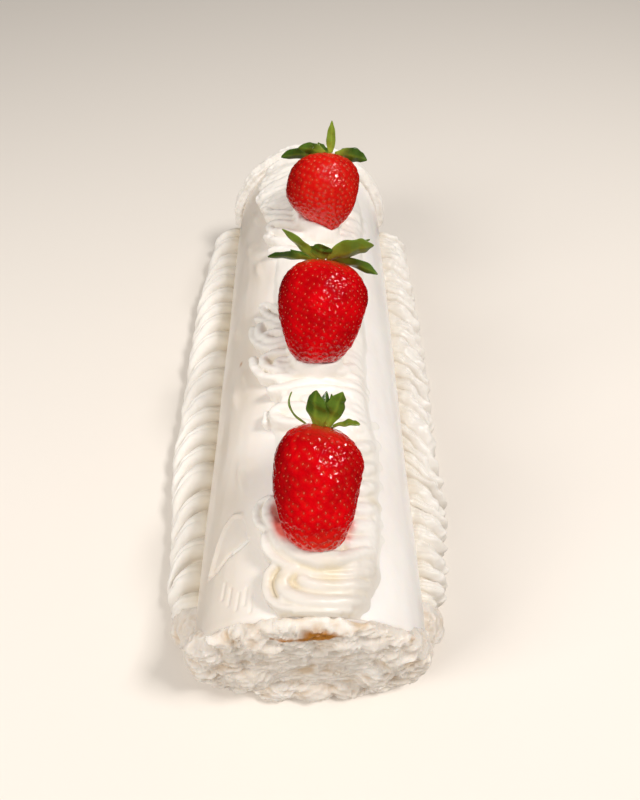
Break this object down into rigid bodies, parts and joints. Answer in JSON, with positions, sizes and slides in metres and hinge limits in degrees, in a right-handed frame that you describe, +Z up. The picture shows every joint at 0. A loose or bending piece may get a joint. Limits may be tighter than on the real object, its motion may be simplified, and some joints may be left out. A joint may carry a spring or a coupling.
{
  "type": "strawberry roll cake",
  "caption": "Long iced roll cake with a piped cream border along each side, a zigzag cream ruffle on top and whole strawberries standing in it.",
  "frame": {"origin": "middle of the bounding box, on the plane that the cake rests on", "axes": "+X to the cake's right seen from its front, +Y along the roll from the front end to the back end, +Z up"},
  "size_m": [0.145, 0.306, 0.1316],
  "materials": {
    "icing": "smooth spread icing, soft sheen",
    "piped_cream": "whipped cream, ridged, soft sheen",
    "strawberry": "glossy fresh fruit skin",
    "leaf": "fresh leaf, matt with a slight sheen"
  },
  "bodies": {
    "root": {"roll": "icing", "left_border": "piped_cream", "right_border": "piped_cream", "front_cream": "piped_cream", "back_cream": "piped_cream", "top_ruffle": "piped_cream", "strawberry_front": "strawberry", "strawberry_middle": "strawberry", "strawberry_back": "strawberry", "leaves_front": "leaf", "leaves_middle": "leaf", "leaves_back": "leaf"}
  },
  "joints": []
}
